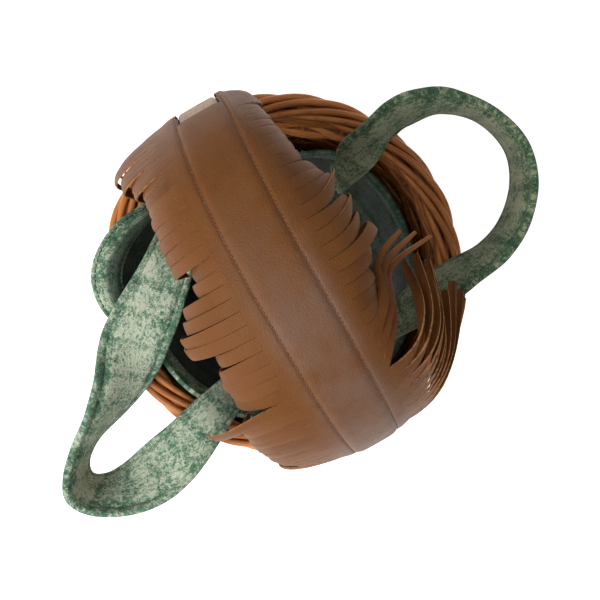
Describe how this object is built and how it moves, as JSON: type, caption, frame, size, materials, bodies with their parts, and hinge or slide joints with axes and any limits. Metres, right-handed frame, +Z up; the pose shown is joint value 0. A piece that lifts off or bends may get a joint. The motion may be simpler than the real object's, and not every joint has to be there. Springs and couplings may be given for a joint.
{
  "type": "basket",
  "caption": "Round willow basket with a leather-covered, fringed hoop handle and a wool pouch lining whose padded straps flop over the rim.",
  "frame": {"origin": "middle of the base, on the surface that the basket stands on", "axes": "+Z up; +X along the span of the hoop handle; +Y towards the short strap"},
  "size_m": [0.2696, 0.3848, 0.3],
  "materials": {
    "willow": "orange-brown varnished willow rods",
    "willow_dark": "darker willow in the shade of the inside",
    "hoop_wood": "pale flat-sawn wood",
    "leather_top": "smooth brown grain leather",
    "leather_strand": "brown grain leather with pale cut edges",
    "wool": "felted green and cream wool with a faint check",
    "wool_dark": "the same wool in the shade of the inside"
  },
  "bodies": {
    "basket": {"base_mat": "willow_dark", "base_sticks": "willow", "foot_wale": "willow", "fringe_left": "leather_strand", "fringe_right": "leather_strand", "handle_hoop": "hoop_wood", "leather_cover": "leather_top", "leather_lining": "leather_strand", "left_strap_far_end": "wool", "left_strap_near_end": "wool", "pouch_body": "wool_dark", "pouch_collar": "wool", "right_strap_far_end": "wool", "right_strap_near_end": "wool", "rolled_border": "willow", "side_weave": "willow", "stake_01": "willow_dark", "stake_02": "willow_dark", "stake_03": "willow_dark", "stake_04": "willow_dark", "stake_05": "willow_dark", "stake_06": "willow_dark", "stake_07": "willow_dark", "stake_08": "willow_dark", "stake_09": "willow_dark", "stake_10": "willow_dark", "stake_11": "willow_dark", "stake_12": "willow_dark", "stake_13": "willow_dark", "stake_14": "willow_dark", "stake_15": "willow_dark", "stake_16": "willow_dark", "stake_17": "willow_dark", "stake_18": "willow_dark", "stake_19": "willow_dark", "stake_20": "willow_dark", "stake_21": "willow_dark", "stake_22": "willow_dark", "stake_23": "willow_dark", "stake_24": "willow_dark", "top_wale": "willow"},
    "left_strap": {"left_strap": "wool"},
    "right_strap": {"right_strap": "wool"}
  },
  "joints": [
    {"name": "right_strap_swing", "type": "hinge", "parent": "basket", "child": "right_strap", "pos_m": [0.0155, 0.0585, 0.118], "axis": [0.9772, -0.2124, 0], "range_deg": [0, 60], "deforming": ["fringe_right"]},
    {"name": "left_strap_swing", "type": "hinge", "parent": "basket", "child": "left_strap", "pos_m": [-0.0065, -0.059, 0.118], "axis": [-0.9977, 0.0671, 0], "range_deg": [0, 60], "deforming": ["fringe_left"]}
  ]
}
